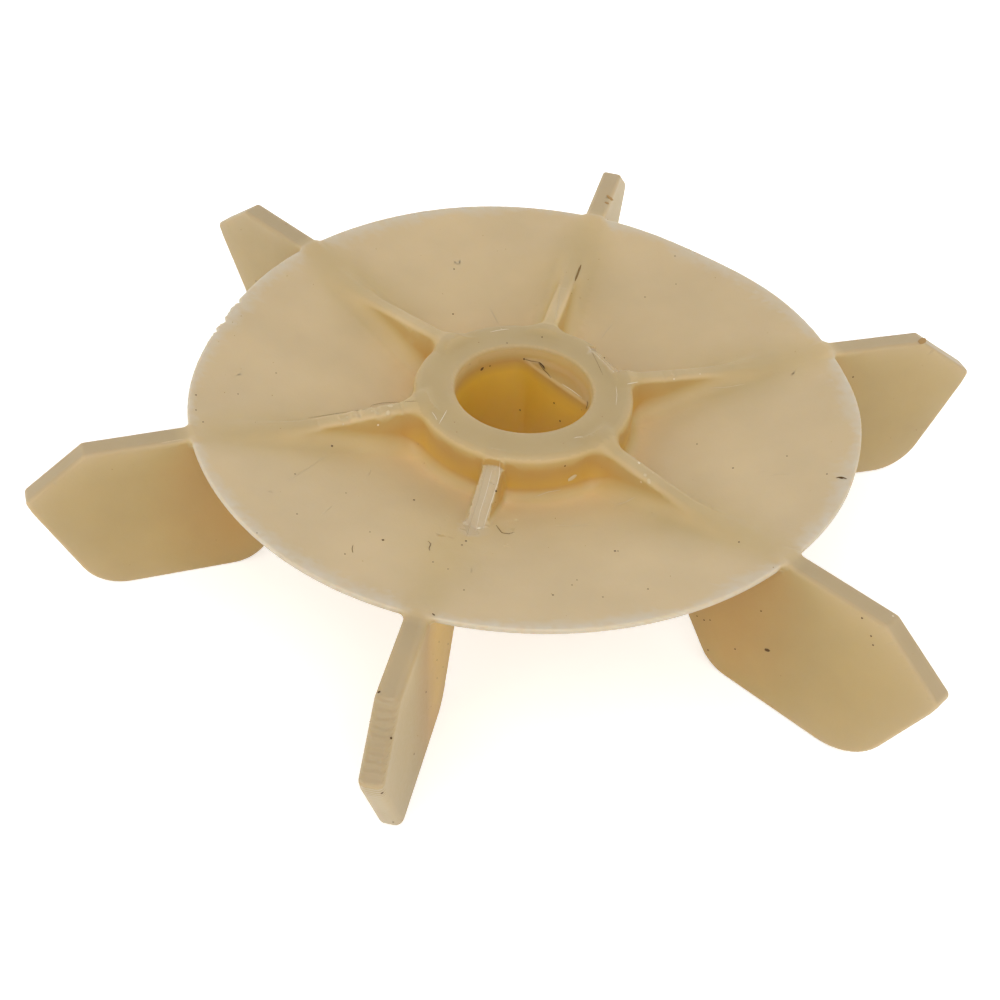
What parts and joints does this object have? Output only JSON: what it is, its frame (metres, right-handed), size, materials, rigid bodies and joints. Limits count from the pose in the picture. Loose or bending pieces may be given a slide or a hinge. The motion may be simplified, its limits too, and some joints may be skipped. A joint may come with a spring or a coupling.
{
  "type": "axial fan impeller",
  "caption": "Moulded plastic cooling fan impeller: a shallow dished disc with a D-bored hub and flat radial blades that reach out past its rim.",
  "frame": {"origin": "on the bore's axis, in the plane that the lower edges of the blades rest on", "axes": "+Z along the bore's axis, from the lower edges of the blades towards the open side of the dished disc; +X close to one blade"},
  "size_m": [0.2151, 0.1909, 0.0375],
  "materials": {
    "natural_polyamide": "as-moulded natural polyamide, slightly translucent, satin"
  },
  "bodies": {
    "root": {"impeller": "natural_polyamide"}
  },
  "joints": []
}
